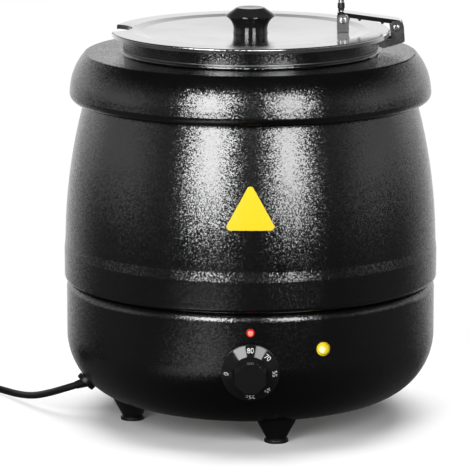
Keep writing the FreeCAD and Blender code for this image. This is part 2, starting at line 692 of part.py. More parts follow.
def cord_gland():
    """A strain relief bush: a barrel through the wall, a flange against it and a cranked nose."""
    bush = turned([(0, -10), (GLAND_BARREL_R, -10), (GLAND_BARREL_R, 0.2), (9.3, 0.2), (9.3, 4.8, 1.2), (0, 4.8)])
    nose = turned([(0, 0), (4.5, 0), (3.7, NOSE_LONG), (0, NOSE_LONG)])
    return fused([placed(bush, GLAND_SPOT, GLAND_OUT), placed(nose, NOSE_ROOT, NOSE_OUT)])


def gland_nut():
    return hex_nut(GLAND_SPOT - GLAND_OUT * 7.6, GLAND_OUT, 17, 4.6, GLAND_BARREL_R + 0.1)


# The coil: turns spiral in on the lower layer, climb in half a turn and spiral out on the upper layer

COIL_ALL = COIL_TURNS + (COIL_EXIT - COIL_ENTRY) / 360
LAYER_TURNS = (COIL_ALL - 0.5) / 2
COIL_OUTER_R = COIL_INNER_R + COIL_PITCH * LAYER_TURNS


def coil_point(turn):
    """The middle of the cord after so many turns."""
    climb = turn - LAYER_TURNS
    if climb < 0:
        radius = COIL_INNER_R - COIL_PITCH * climb
        rise = 0
    elif climb < 0.5:
        radius = COIL_INNER_R - COIL_PITCH * (climb - 2 * climb ** 2)
        rise = COIL_STEP * (12 * climb ** 2 - 16 * climb ** 3)
    else:
        radius = COIL_INNER_R + COIL_PITCH * (climb - 0.5)
        rise = COIL_STEP
    angle = math.radians(COIL_ENTRY + 360 * turn)
    return COIL_CENTRE + V(radius * math.cos(angle), radius * math.sin(angle), rise)


def coil_heading(turn):
    step = 1e-5
    return (coil_point(turn + step) - coil_point(turn - step)).normalize()


def tangent_arc(start, end, corner):
    """The arc from start to end whose end tangents meet at the corner."""
    chord_middle = (start + end) / 2
    half_chord = (end - start).Length / 2
    lean = (corner - start).getAngle(end - start)
    middle = chord_middle + (corner - chord_middle).normalize() * (half_chord * math.tan(lean / 2))
    return Part.Arc(start, middle, end).toShape()


def two_arcs(start, heading, end, end_heading):
    """A pair of arcs that leaves start and reaches end in the given directions."""
    across = end - start
    both = heading + end_heading
    a = 2 * (1 - heading.dot(end_heading))
    b = 2 * across.dot(both)
    c = -across.dot(across)
    reach = (-b + math.sqrt(b * b - 4 * a * c)) / (2 * a)
    first = start + heading * reach
    second = end - end_heading * reach
    join = (first + second) / 2
    return [tangent_arc(start, join, first), tangent_arc(join, end, second)]


def coil_path():
    stops = [LAYER_TURNS * k / COIL_ARCS for k in range(COIL_ARCS + 1)]
    stops += [LAYER_TURNS + 0.25]
    stops += [LAYER_TURNS + 0.5 + LAYER_TURNS * k / COIL_ARCS for k in range(COIL_ARCS + 1)]
    headings = [coil_heading(turn) for turn in stops]
    places = [coil_point(turn) for turn in stops]
    edges = [Part.LineSegment(places[0] - headings[0] * CORD_D, places[0]).toShape()]
    for index in range(len(stops) - 1):
        edges += two_arcs(places[index], headings[index], places[index + 1], headings[index + 1])
    edges.append(Part.LineSegment(places[-1], places[-1] + headings[-1] * CORD_D).toShape())
    return Part.Wire(edges)


def least_gap(path):
    """The smallest clear distance between turns, measured on points along the coil."""
    step = 2.0
    points = path.discretize(Distance=step)
    skip = int(4 * CORD_D / step)
    nearest = min((points[i] - points[j]).Length for i in range(len(points)) for j in range(i + skip, len(points)))
    return nearest - CORD_D


def cord_coil():
    path = coil_path()
    print("coil turns", round(COIL_ALL, 3), "least gap", round(least_gap(path), 2))
    return tube_along(path, CORD_D, "coil")


def cord_lead():
    heading = coil_heading(0)
    join = coil_point(0) - heading * CORD_D
    first = CORD_EXIT + NOSE_OUT * LEAD_STRAIGHT
    return tube([CORD_EXIT, first] + LEAD_POINTS + [join - heading * 25, join], CORD_D, "lead")


TAIL_START = coil_point(COIL_ALL) + coil_heading(COIL_ALL) * CORD_D
PLUG_BACK = TAIL_START + vector(TAIL_STEPS[-1])


def cord_tail():
    first = TAIL_START + coil_heading(COIL_ALL) * 13
    return tube([TAIL_START, first] + [TAIL_START + vector(step) for step in TAIL_STEPS], CORD_D, "tail")


def cord_tie():
    """A flat band round the bundle of turns."""
    low = COIL_CENTRE.z - CORD_D / 2 - 0.4
    high = COIL_CENTRE.z + COIL_STEP + CORD_D / 2 + 0.4
    near = COIL_INNER_R - CORD_D / 2 - 1.6
    far = COIL_OUTER_R + CORD_D / 2 + 0.8
    band = 1.0
    outer = plate([(near - band, low - band, 4), (far + band, low - band, 4), (far + band, high + band, 4),
                   (near - band, high + band, 4)], -4, 4)
    inner = plate([(near, low, 3), (far, low, 3), (far, high, 3), (near, high, 3)], -5, 5)
    tie = outer.cut(inner)
    tie.rotate(ORIGIN, UP, 300)
    tie.translate(V(COIL_CENTRE.x, COIL_CENTRE.y, 0))
    return tie


def mains_plug():
    body = turned([(0, 0), (5.2, 0, 0.6), (6.6, 13), (13.5, 20, 5), (17.4, 34, 3), (PLUG_R, 36), (PLUG_R, PLUG_LONG, 1),
                   (0, PLUG_LONG)])
    grooves = [block((-3.2, side * 15.2 - 3.2, PLUG_LONG - 8), (3.2, side * 15.2 + 3.2, PLUG_LONG + 1))
               for side in (-1, 1)]
    return placed(body.cut(grooves), PLUG_BACK, V(0, -1, 0))


def plug_pins():
    pin = turned([(0, PLUG_LONG + 0.05), (2.4, PLUG_LONG + 0.05), (2.4, PLUG_LONG + 19, 1.6), (0, PLUG_LONG + 19)])
    return group([placed(pin, PLUG_BACK + V(side * PIN_SPACING / 2, 0, 0), V(0, -1, 0)) for side in (-1, 1)])


NODES = [
    base_pan, barrel_shell, collar, casing_screws, water_well, heating_element, clamp_bar, clamp_stud, clamp_nuts,
    heat_shield, thermal_cutout, thermostat_body, thermostat_screws, thermostat_shaft, dial_knob, sensor_bulb,
    bulb_clip, capillary, terminal_block, earth_stud, wiring, red_lamp_lens, red_lamp_holder, amber_lamp_lens,
    amber_lamp_holder, lamp_clips, bottom_plate, bottom_screws, foot_screws, foot_nuts, inner_pot, lid_ring,
    ring_bracket, ring_rivets, hinge_arm, bumper_stud, bumper_sleeve, lid, lid_knob, knob_washer, knob_screw,
    lid_bracket, lid_rivets, cord_gland, gland_nut, cord_lead, cord_coil, cord_tail, cord_tie, mains_plug, plug_pins,
]


def all_shapes():
    shapes = {make.__name__: make() for make in NODES}
    shapes["ring_pin"] = pin_with_heads(RING_PIN)
    shapes["lid_pin"] = pin_with_heads(LID_PIN)
    for name, azimuth in FOOT_AZIMUTHS.items():
        shapes["foot_" + name] = foot(azimuth)
    return shapes


def main():
    os.makedirs("parts", exist_ok=True)
    for name, shape in all_shapes().items():
        if not shape.isValid() or not shape.Solids:
            raise ValueError(name + " is not a sound solid")
        shape.exportStep("parts/" + name + ".step")
    print("sub-parts written", len(NODES) + 2 + len(FOOT_AZIMUTHS))


if __name__ == "__main__":
    main()
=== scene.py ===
import math

import bpy
from mathutils import Matrix, Vector


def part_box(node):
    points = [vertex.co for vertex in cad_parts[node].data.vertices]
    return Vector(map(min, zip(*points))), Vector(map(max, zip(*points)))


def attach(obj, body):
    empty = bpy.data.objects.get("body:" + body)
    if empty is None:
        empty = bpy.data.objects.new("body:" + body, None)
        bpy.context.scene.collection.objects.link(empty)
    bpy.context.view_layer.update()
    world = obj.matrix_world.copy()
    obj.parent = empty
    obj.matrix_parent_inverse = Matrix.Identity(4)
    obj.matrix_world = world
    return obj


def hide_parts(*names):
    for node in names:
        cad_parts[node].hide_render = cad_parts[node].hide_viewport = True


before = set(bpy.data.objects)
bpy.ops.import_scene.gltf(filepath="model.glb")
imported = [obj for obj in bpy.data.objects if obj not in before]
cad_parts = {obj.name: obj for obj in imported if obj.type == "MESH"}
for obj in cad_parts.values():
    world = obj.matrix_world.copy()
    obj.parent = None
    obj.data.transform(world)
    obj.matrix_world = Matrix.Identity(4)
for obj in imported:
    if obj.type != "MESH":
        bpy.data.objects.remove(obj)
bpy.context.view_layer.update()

bl_info = {
    "name": "Soup kettle",
    "version": (1, 0, 0),
    "blender": (4, 5, 0),
    "location": "View3D > Sidebar > Kettle",
    "description": "Finishes, printed details, mains cord and studio for a round electric soup kettle",
    "category": "Object",
}

MM = 0.001
CORD_DIAMETER = 6.5  # millimetres
FACET_LEAN = 0.155   # how far a grain of the coat leans the surface normal
NOISE_LOW = 0.3      # most values of a noise lie between these two
NOISE_HIGH = 0.7


def srgb(code):
    """A hex colour as linear red, green, blue and full alpha."""
    parts = [int(code[i:i + 2], 16) / 255 for i in (1, 3, 5)]
    linear = [c / 12.92 if c <= 0.04045 else ((c + 0.055) / 1.055) ** 2.4 for c in parts]
    return (*linear, 1.0)


def colour(name, code, words):
    return bpy.props.FloatVectorProperty(name=name, description=words, default=srgb(code), subtype="COLOR",
                                         size=4, min=0.0, max=1.0)


def length(name, millimetres, words):
    return bpy.props.FloatProperty(name=name, description=words, default=millimetres * MM, unit="LENGTH",
                                   min=0.0)


class KettleColours(bpy.types.PropertyGroup):
    """Colours of the kettle's finishes."""
    # The one black coat is painted in two shades: darker in the peel's hollows as painted shade, lighter on
    # its crests as painted light
    coat_shaded_hollows: colour("Coat, hollows", "#020202", "Powder coat in the hollows of its orange peel")
    coat_lit_crests: colour("Coat, crests", "#050505", "Powder coat on the crests of its orange peel")
    steel: colour("Polished steel", "#D2D2D2", "Polished stainless steel of the lid and hinge")
    # Darker than bare satin steel: painted shade, so that the pot's rim under the lid's ring reads as shaded
    shaded_satin_steel: colour("Satin steel", "#8C8D8E", "Satin stainless steel of the pot and well")
    zinc: colour("Zinc plating", "#B2B3B1", "Zinc plated fasteners and plates")
    phenolic: colour("Phenolic", "#141415", "Moulded phenolic of the lid knob and the dial")
    nylon: colour("Black nylon", "#070707", "Moulded nylon of the feet and the cord's bush")
    jacket: colour("Cord jacket", "#0B0B0B", "Soft PVC round the mains cord")
    red: colour("Red lens", "#C80C12", "Lens of the mains lamp")
    amber: colour("Amber lens", "#D8BC14", "Lens of the heating lamp")
    plate: colour("Front plate", "#F6D600", "Blank triangular plate on the barrel")
    print_white: colour("Dial print", "#E9E9E6", "Numbers printed on the dial")


class KettleSizes(bpy.types.PropertyGroup):
    """Sizes of the details that are added to the kettle."""
    peel: length("Orange peel", 0.85, "Width of one grain of the powder coat's texture")
    plate_wide: length("Plate width", 46.0, "Base of the triangular plate before its corners are rounded")
    plate_high: length("Plate height", 41.5, "Height of the triangular plate")
    plate_low: length("Plate foot", 203.5, "Height of the plate's lower edge above the floor")
    plate_corner: length("Plate corner", 3.2, "Corner radius of the plate")
    plate_thick: length("Plate thickness", 0.5, "Thickness of the plate")
    digit_high: length("Digit height", 4.8, "Height of the numbers on the dial")
    cord: length("Cord diameter", CORD_DIAMETER, "Outside diameter of the mains cord")


def colours():
    return bpy.context.scene.kettle_colours


def sizes():
    return bpy.context.scene.kettle_sizes


# Materials

def node(tree, kind, inputs=None, stops=None, **settings):
    """Adds a node, sets its properties and sockets, and links each input that is given as (node, output)."""
    made = tree.nodes.new(kind)
    for name, value in settings.items():
        setattr(made, name, value)
    for name, value in (inputs or {}).items():
        if isinstance(value, tuple) and isinstance(value[0], bpy.types.Node):
            tree.links.new(value[0].outputs[value[1]], made.inputs[name])
        else:
            made.inputs[name].default_value = value
    if stops:
        ramp = made.color_ramp.elements
        while len(ramp) < len(stops):
            ramp.new(0.5)
        for element, (place, shade) in zip(ramp, stops):
            element.position = place
            element.color = (shade, shade, shade, 1) if isinstance(shade, float) else shade
    return made


def grain(width_mm):
    """The scale of a pattern whose grains are so many millimetres wide."""
    return 1 / (width_mm * MM)


def new_material(name):
    material = bpy.data.materials.new(name)
    material.use_nodes = True
    tree = material.node_tree
    tree.nodes.clear()
    place = node(tree, "ShaderNodeTexCoord")
    return material, tree, place


def close_material(tree, inputs):
    shader = node(tree, "ShaderNodeBsdfPrincipled", inputs)
    node(tree, "ShaderNodeOutputMaterial", {"Surface": (shader, "BSDF")})


def powder_coat():
    """Powder coat baked on steel: a fine orange peel whose facets break every reflection into sparkles.

    The real grain is finer than the picture can show, so it is drawn as coarse as it needs to be seen.
    """
    material, tree, place = new_material("powder_coat_black")
    cells = node(tree, "ShaderNodeTexVoronoi", {"Vector": (place, "Object"), "Randomness": 1.0,
                                                "Scale": grain(sizes().peel / MM)})
    broad = node(tree, "ShaderNodeTexNoise", {"Vector": (place, "Object"), "Scale": grain(45), "Detail": 3.0})
    # Painted shade and light: each grain is lighter at its middle and darker towards its edges, where the
    # hollows between grains would be shaded
    shade = node(tree, "ShaderNodeMix", {"Factor": (cells, "Distance"), 6: colours().coat_lit_crests,
                                         7: colours().coat_shaded_hollows}, data_type="RGBA")
    rough = node(tree, "ShaderNodeMapRange", {"Value": (broad, "Fac"), "From Min": NOISE_LOW,
                                              "From Max": NOISE_HIGH, "To Min": 0.17, "To Max": 0.21})
    centred = node(tree, "ShaderNodeVectorMath", {0: (cells, "Color"), 1: (0.5, 0.5, 0.5)},
                   operation="SUBTRACT")
    surface = node(tree, "ShaderNodeNewGeometry")
    facet = node(tree, "ShaderNodeVectorMath", {0: (centred, "Vector"), 1: (FACET_LEAN,) * 3,
                                                2: (surface, "Normal")}, operation="MULTIPLY_ADD")
    lean = node(tree, "ShaderNodeVectorMath", {0: (facet, "Vector")}, operation="NORMALIZE")
    close_material(tree, {"Base Color": (shade, "Result"), "Roughness": (rough, "Result"), "IOR": 1.9,
                          "Normal": (lean, "Vector")})
    return material


def polished_steel(name="stainless_polished", low=0.10, high=0.17):
    """Polished stainless steel: a clear reflection, softened by faint turning marks and wiped smears."""
    material, tree, place = new_material(name)
    split = node(tree, "ShaderNodeSeparateXYZ", {"Vector": (place, "Object")})
    across = node(tree, "ShaderNodeMath", {0: (split, "X"), 1: (split, "X")}, operation="MULTIPLY")
    square = node(tree, "ShaderNodeMath", {0: (split, "Y"), 1: (split, "Y"), 2: (across, "Value")},
                  operation="MULTIPLY_ADD")
    distance = node(tree, "ShaderNodeMath", {0: (square, "Value")}, operation="SQRT")
    ring = node(tree, "ShaderNodeCombineXYZ", {"X": (distance, "Value")})
    marks = node(tree, "ShaderNodeTexNoise", {"Vector": (ring, "Vector"), "Scale": grain(1.1), "Detail": 3.0})
    smear = node(tree, "ShaderNodeTexNoise", {"Vector": (place, "Object"), "Scale": grain(38), "Detail": 4.0,
                                              "Distortion": 0.6})
    rough = node(tree, "ShaderNodeMapRange", {"Value": (smear, "Fac"), "From Min": NOISE_LOW,
                                              "From Max": NOISE_HIGH, "To Min": low, "To Max": high})
    bump = node(tree, "ShaderNodeBump", {"Height": (marks, "Fac"), "Strength": 0.05, "Distance": 0.05 * MM})
    close_material(tree, {"Base Color": colours().steel, "Metallic": 1.0, "Roughness": (rough, "Result"),
                          "Normal": (bump, "Normal")})
    return material


def shaded_satin_steel():
    """Spun stainless steel: brush lines that run round the axis draw the highlights out upwards. Its colour
    is darkened below bare steel, a painted shade that dims the pot's rim under the lid's ring.

    Real brush lines are finer than the picture can show, so they are drawn as coarse as they need to be seen.
    """
    material, tree, place = new_material("stainless_satin")
    stretch = node(tree, "ShaderNodeMapping", {"Vector": (place, "Object"), "Scale": (0.02, 0.02, 1.0)})
    lines = node(tree, "ShaderNodeTexNoise", {"Vector": (stretch, "Vector"), "Scale": grain(0.9),
                                              "Detail": 3.0})
    broad = node(tree, "ShaderNodeTexNoise", {"Vector": (place, "Object"), "Scale": grain(30), "Detail": 3.0})
    rough = node(tree, "ShaderNodeMapRange", {"Value": (broad, "Fac"), "From Min": NOISE_LOW,
                                              "From Max": NOISE_HIGH, "To Min": 0.29, "To Max": 0.38})
    bump = node(tree, "ShaderNodeBump", {"Height": (lines, "Fac"), "Strength": 0.03, "Distance": 0.08 * MM})
    close_material(tree, {"Base Color": colours().shaded_satin_steel, "Metallic": 1.0,
                          "Roughness": (rough, "Result"), "Normal": (bump, "Normal")})
    return material


def zinc_plating():
    """Bright zinc on steel: small cloudy patches of slightly different gloss."""
    material, tree, place = new_material("steel_zinc_plated")
    cloud = node(tree, "ShaderNodeTexNoise", {"Vector": (place, "Object"), "Scale": grain(6), "Detail": 4.0})
    rough = node(tree, "ShaderNodeMapRange", {"Value": (cloud, "Fac"), "From Min": NOISE_LOW,
                                              "From Max": NOISE_HIGH, "To Min": 0.28, "To Max": 0.46})
    tint = node(tree, "ShaderNodeMix", {"Factor": (cloud, "Fac"), 6: colours().zinc, 7: srgb("#C9C8BE")},
                data_type="RGBA")
    bump = node(tree, "ShaderNodeBump", {"Height": (cloud, "Fac"), "Strength": 0.06, "Distance": 0.1 * MM})
    close_material(tree, {"Base Color": (tint, "Result"), "Metallic": 1.0, "Roughness": (rough, "Result"),
                          "Normal": (bump, "Normal")})
    return material


def phenolic():
    """Compression moulded phenolic: deep black, glossy, with the slight waviness of a moulded skin."""
    material, tree, place = new_material("phenolic_black")
    wave = node(tree, "ShaderNodeTexNoise", {"Vector": (place, "Object"), "Scale": grain(5), "Detail": 2.0})
    dust = node(tree, "ShaderNodeTexNoise", {"Vector": (place, "Object"), "Scale": grain(0.8), "Detail": 2.0})
    shade = node(tree, "ShaderNodeMix", {"Factor": (dust, "Fac"), 6: colours().phenolic, 7: srgb("#1E1E1F")},
                 data_type="RGBA")
    rough = node(tree, "ShaderNodeMapRange", {"Value": (wave, "Fac"), "From Min": NOISE_LOW,
                                              "From Max": NOISE_HIGH, "To Min": 0.06, "To Max": 0.11})
    bump = node(tree, "ShaderNodeBump", {"Height": (wave, "Fac"), "Strength": 0.08, "Distance": 0.1 * MM})
    close_material(tree, {"Base Color": (shade, "Result"), "Roughness": (rough, "Result"), "IOR": 1.55,
                          "Normal": (bump, "Normal")})
    return material


def moulded(name, dark, light, grain_mm, low, high):
    """Injection moulded plastic with a fine spark-eroded texture that dulls it.

    The real texture is finer than the picture can show, so it is drawn as coarse as it needs to be seen.
    """
    material, tree, place = new_material(name)
    spark = node(tree, "ShaderNodeTexNoise", {"Vector": (place, "Object"), "Scale": grain(grain_mm),
                                              "Detail": 3.0})
    shade = node(tree, "ShaderNodeMix", {"Factor": (spark, "Fac"), 6: dark, 7: light}, data_type="RGBA")
    rough = node(tree, "ShaderNodeMapRange", {"Value": (spark, "Fac"), "From Min": NOISE_LOW,
                                              "From Max": NOISE_HIGH, "To Min": low, "To Max": high})
    bump = node(tree, "ShaderNodeBump", {"Height": (spark, "Fac"), "Strength": 0.2, "Distance": 0.08 * MM})
    close_material(tree, {"Base Color": (shade, "Result"), "Roughness": (rough, "Result"), "IOR": 1.5,
                          "Normal": (bump, "Normal")})
    return material


def drawn_metal(name, base, far, low, high):
    """Drawn or plated metal whose colour drifts a little along its length."""
    material, tree, place = new_material(name)
    drift = node(tree, "ShaderNodeTexNoise", {"Vector": (place, "Object"), "Scale": grain(12), "Detail": 4.0})
    tint = node(tree, "ShaderNodeMix", {"Factor": (drift, "Fac"), 6: base, 7: far}, data_type="RGBA")
    rough = node(tree, "ShaderNodeMapRange", {"Value": (drift, "Fac"), "From Min": NOISE_LOW,
                                              "From Max": NOISE_HIGH, "To Min": low, "To Max": high})
    close_material(tree, {"Base Color": (tint, "Result"), "Metallic": 1.0, "Roughness": (rough, "Result")})
    return material


def lit_lens(name, rim, body, core, strength, centre, reach_mm):
    """A moulded lens with its lamp on: a pale core over the lamp, a deep colour towards its rim."""
    material, tree, place = new_material(name)
    shift = node(tree, "ShaderNodeMapping", {"Vector": (place, "Object"), "Location": [-c for c in centre]})
    away = node(tree, "ShaderNodeVectorMath", {0: (shift, "Vector")}, operation="LENGTH")
    share = node(tree, "ShaderNodeMapRange", {"Value": (away, "Value"), "From Min": 0.0,
                                              "From Max": reach_mm * MM})
    tint = node(tree, "ShaderNodeValToRGB", {"Fac": (share, "Result")},
                stops=[(0.0, core), (0.3, core), (0.54, body), (0.82, body), (1.0, rim)])
    speck = node(tree, "ShaderNodeTexNoise", {"Vector": (place, "Object"), "Scale": grain(1.5),
                                              "Detail": 2.0})
    bump = node(tree, "ShaderNodeBump", {"Height": (speck, "Fac"), "Strength": 0.05, "Distance": 0.1 * MM})
    close_material(tree, {"Base Color": (tint, "Color"), "Emission Color": (tint, "Color"),
                          "Emission Strength": strength, "Roughness": 0.12, "IOR": 1.49,
                          "Normal": (bump, "Normal")})
    return material


def printed_sheet(name, base, far):
    """Screen print on a thin sheet: an even colour with the faint mottling of the ink."""
    material, tree, place = new_material(name)
    ink = node(tree, "ShaderNodeTexNoise", {"Vector": (place, "Object"), "Scale": grain(2.5), "Detail": 3.0})
    tint = node(tree, "ShaderNodeMix", {"Factor": (ink, "Fac"), 6: base, 7: far}, data_type="RGBA")
    bump = node(tree, "ShaderNodeBump", {"Height": (ink, "Fac"), "Strength": 0.05, "Distance": 0.05 * MM})
    close_material(tree, {"Base Color": (tint, "Result"), "Roughness": 0.38, "IOR": 1.48,
                          "Normal": (bump, "Normal")})
    return material


def dress(names, material):
    """Gives CAD nodes their finish."""
    for name in names:
        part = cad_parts[name]
        part.data.materials.clear()
        part.data.materials.append(material)


# Making of pieces

def started(name):
    """Names the object that an operator has just added."""
    piece = bpy.context.object
    piece.name = name
    piece.data.name = name
    return piece


DIAL_TILT = math.radians(5.0)
DIAL_BACK = Vector((0, -169.5, 77.5)) * MM
DIAL_FRAME = Matrix.Translation(DIAL_BACK) @ Matrix.Rotation(math.radians(90) + DIAL_TILT, 4, "X")
# Radius and height of the skirt's two edges in the dial's own frame, and sizes of the print, in millimetres
SKIRT_OUT = (25.6, 1.8)
SKIRT_IN = (16.6, 7.2)
INK_HALF = 0.04        # half the thickness of the print
INK_THIN = -0.02       # how much the strokes of the font grow on each side
INK_LIFT = 0.08        # from the skirt to the middle of the print
DIGIT_WIDTH = 0.88     # share of the font's own width
FONT_SHARE = 1.42      # font size over the height of its digits
# Each mark and its angle round the dial in degrees
DIAL_MARKS = [("0", 180), ("80", 90), ("70", 45), ("55", 0), ("45", -45), ("35c", -90)]


class KETTLE_OT_casing(bpy.types.Operator):
    """Powder coat on the sheets of the casing and on the lid's ring"""
    bl_idname = "kettle.casing"
    bl_label = "Casing"

    def execute(self, context):
        dress(["base_pan", "barrel_shell", "collar", "lid_ring"], powder_coat())
        return {"FINISHED"}


class KETTLE_OT_steel(bpy.types.Operator):
    """Stainless steel on the lid, hinge, pot and well"""
    bl_idname = "kettle.steel"
    bl_label = "Stainless steel"

    def execute(self, context):
        dress(["lid"], polished_steel())
        dress(["hinge_arm"], polished_steel("stainless_bright_drawn", 0.05, 0.09))
        dress(["lid_bracket", "ring_pin", "lid_pin", "ring_rivets", "lid_rivets", "bumper_stud"],
              polished_steel("stainless_pressed", 0.2, 0.28))
        dress(["ring_bracket"],
              drawn_metal("stainless_dull_pressed", srgb("#7C7C7D"), srgb("#88888A"), 0.24, 0.3))
        # The pot and well get the darkened satin steel, a painted shade on the pot's rim
        dress(["inner_pot", "water_well"], shaded_satin_steel())
        return {"FINISHED"}


class KETTLE_OT_plastics(bpy.types.Operator):
    """Phenolic on the knob and dial, nylon on the feet, bush, sleeve and cord tie"""
    bl_idname = "kettle.plastics"
    bl_label = "Plastics"

    def execute(self, context):
        dress(["lid_knob", "dial_knob"], phenolic())
        nylon = moulded("nylon_black", colours().nylon, srgb("#0D0D0E"), 0.8, 0.34, 0.5)
        dress(["foot_front", "foot_right", "foot_back", "foot_left", "cord_gland", "gland_nut",
               "bumper_sleeve", "cord_tie"], nylon)
        return {"FINISHED"}


class KETTLE_OT_inside(bpy.types.Operator):
    """Finishes of the pieces inside and under the casing"""
    bl_idname = "kettle.inside"
    bl_label = "Inner pieces"

    def execute(self, context):
        dress(["bottom_plate", "heat_shield", "clamp_bar", "clamp_stud", "clamp_nuts", "casing_screws",
               "bottom_screws", "foot_screws", "foot_nuts", "thermostat_screws", "bulb_clip", "lamp_clips",
               "knob_screw", "knob_washer", "earth_stud", "thermostat_shaft"], zinc_plating())
        dress(["heating_element"], drawn_metal("element_sheath_heat_tinted", srgb("#4A4646"), srgb("#6B5A4A"),
                                               0.35, 0.55))
        dress(["red_lamp_holder", "amber_lamp_holder", "thermostat_body", "terminal_block", "thermal_cutout"],
              moulded("nylon_natural", srgb("#C8C0AC"), srgb("#D8D2C2"), 1.2, 0.4, 0.55))
        dress(["capillary", "sensor_bulb"],
              drawn_metal("copper_drawn", srgb("#B0714E"), srgb("#9C5F42"), 0.25, 0.4))
        dress(["wiring"], moulded("silicone_insulation", srgb("#6E4A32"), srgb("#7A5236"), 1.0, 0.5, 0.65))
        return {"FINISHED"}


# Each lamp's node, material, rim, body, core, strength and the reach of its colours in millimetres
LAMPS = [("red_lamp_lens", "acrylic_red_lit", "#4A0004", "red", "#F08C74", 0.3, 5.6),
         ("amber_lamp_lens", "acrylic_amber_lit", "#A88C06", "amber", "#F8F2B4", 0.3, 7.4)]


class KETTLE_OT_lamps(bpy.types.Operator):
    """The two indicator lamps, switched on"""
    bl_idname = "kettle.lamps"
    bl_label = "Indicator lamps"

    def execute(self, context):
        for name, material, rim, body, core, strength, reach in LAMPS:
            low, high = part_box(name)
            front = Vector(((low[0] + high[0]) / 2, low[1], (low[2] + high[2]) / 2))
            lens = lit_lens(material, srgb(rim), getattr(colours(), body), srgb(core), strength, front, reach)
            dress([name], lens)
        return {"FINISHED"}


class KETTLE_OT_dial_print(bpy.types.Operator):
    """Numbers printed on the dial's conical skirt"""
    bl_idname = "kettle.dial_print"
    bl_label = "Dial print"

    def execute(self, context):
        white = printed_sheet("ink_white", colours().print_white, srgb("#DCDCD8"))
        slope = Vector((SKIRT_IN[0] - SKIRT_OUT[0], SKIRT_IN[1] - SKIRT_OUT[1])).normalized()
        middle = Vector(((SKIRT_IN[0] + SKIRT_OUT[0]) / 2, (SKIRT_IN[1] + SKIRT_OUT[1]) / 2))
        for words, angle in DIAL_MARKS:
            bpy.ops.object.select_all(action="DESELECT")
            bpy.ops.object.text_add()
            text = started("dial_mark_" + words)
            text.data.body = words
            text.data.align_x = "CENTER"
            text.data.align_y = "CENTER"
            text.data.size = sizes().digit_high * FONT_SHARE
            text.data.extrude = INK_HALF * MM
            text.data.offset = INK_THIN * MM
            text.data.resolution_u = 4
            bpy.ops.object.convert(target="MESH")
            for vertex in text.data.vertices:
                across, up, proud = vertex.co
                along = middle - slope * (up / MM)
                lift = proud / MM + INK_LIFT
                radius = along.x + slope.y * lift
                height = along.y - slope.x * lift
                turn = math.radians(angle) - DIGIT_WIDTH * across / (middle.x * MM)
                spot = Vector((radius * math.cos(turn), radius * math.sin(turn), height)) * MM
                vertex.co = DIAL_FRAME @ spot
            text.data.materials.append(white)
            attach(text, "dial")
        return {"FINISHED"}


PLATE_GRID = (36, 32)
PLATE_START = -0.19    # where the flat plate stands before it is laid on the barrel, in metres
PLATE_GAP = 0.05       # between the plate's back and the barrel, in millimetres
PLATE_CREASE = math.radians(40)
CORNER_STEPS = 6
TIP_STEPS = 4


class KETTLE_OT_front_plate(bpy.types.Operator):
    """A blank triangular plate that follows the barrel's curve"""
    bl_idname = "kettle.front_plate"
    bl_label = "Front plate"

    def execute(self, context):
        wide = sizes().plate_wide
        high = sizes().plate_high
        low = sizes().plate_low
        corner = sizes().plate_corner
        bpy.ops.object.select_all(action="DESELECT")
        bpy.ops.mesh.primitive_grid_add(x_subdivisions=PLATE_GRID[0], y_subdivisions=PLATE_GRID[1], size=1.0)
        plate = started("front_plate")
        plate.scale = (wide, high, 1.0)
        plate.rotation_euler = (math.radians(90), 0, 0)
        plate.location = (0, PLATE_START, low + high / 2)
        bpy.ops.object.transform_apply(location=True, rotation=True, scale=True)
        bpy.ops.object.mode_set(mode="EDIT")
        tip = Vector((0, 0, low + high))
        foot = Vector((wide / 2, 0, low))
        lean = math.atan2(high, wide / 2)
        centre_low = Vector((wide / 2 - corner / math.tan(lean / 2), 0, low + corner))
        centre_top = tip - Vector((0, 0, corner / math.cos(lean)))
        cuts = []
        for side in (1, -1):
            slant = Vector((side * math.sin(lean), 0, math.cos(lean)))
            cuts.append((Vector((side * foot.x, 0, foot.z)), slant))
            for step in range(1, CORNER_STEPS):
                swing = math.radians(-90) + (math.radians(180) - lean) * step / CORNER_STEPS
                away = Vector((side * math.cos(swing), 0, math.sin(swing)))
                spot = Vector((side * centre_low.x, 0, centre_low.z))
                cuts.append((spot + away * corner, away))
            for step in range(TIP_STEPS):
                swing = math.radians(90) - lean + lean * (step + 1) / TIP_STEPS
                away = Vector((side * math.cos(swing), 0, math.sin(swing)))
                cuts.append((centre_top + away * corner, away))
        for spot, away in cuts:
            bpy.ops.mesh.select_all(action="SELECT")
            bpy.ops.mesh.bisect(plane_co=spot, plane_no=away, clear_outer=True, use_fill=False)
        bpy.ops.object.mode_set(mode="OBJECT")
        wrap = plate.modifiers.new("lie_on_barrel", "SHRINKWRAP")
        wrap.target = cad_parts["barrel_shell"]
        wrap.wrap_method = "PROJECT"
        wrap.use_project_y = True
        wrap.use_positive_direction = True
        wrap.offset = PLATE_GAP * MM
        bpy.ops.object.modifier_apply(modifier=wrap.name)
        sheet = plate.modifiers.new("thickness", "SOLIDIFY")
        sheet.thickness = sizes().plate_thick
        sheet.offset = 1.0
        bpy.ops.object.modifier_apply(modifier=sheet.name)
        bpy.ops.object.shade_smooth_by_angle(angle=PLATE_CREASE)
        plate.data.materials.append(printed_sheet("polyester_yellow", colours().plate, srgb("#EFCC00")))
        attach(plate, "casing")
        return {"FINISHED"}


# The cord's route, in millimetres, from its bush to its plug

def around(azimuth, radius, height):
    angle = math.radians(azimuth)
    return Vector((radius * math.cos(angle), radius * math.sin(angle), height))


def falling(azimuth, slope):
    """The direction that leaves the axis at an azimuth and falls at a slope, both in degrees."""
    return around(azimuth, math.cos(math.radians(slope)), -math.sin(math.radians(slope)))


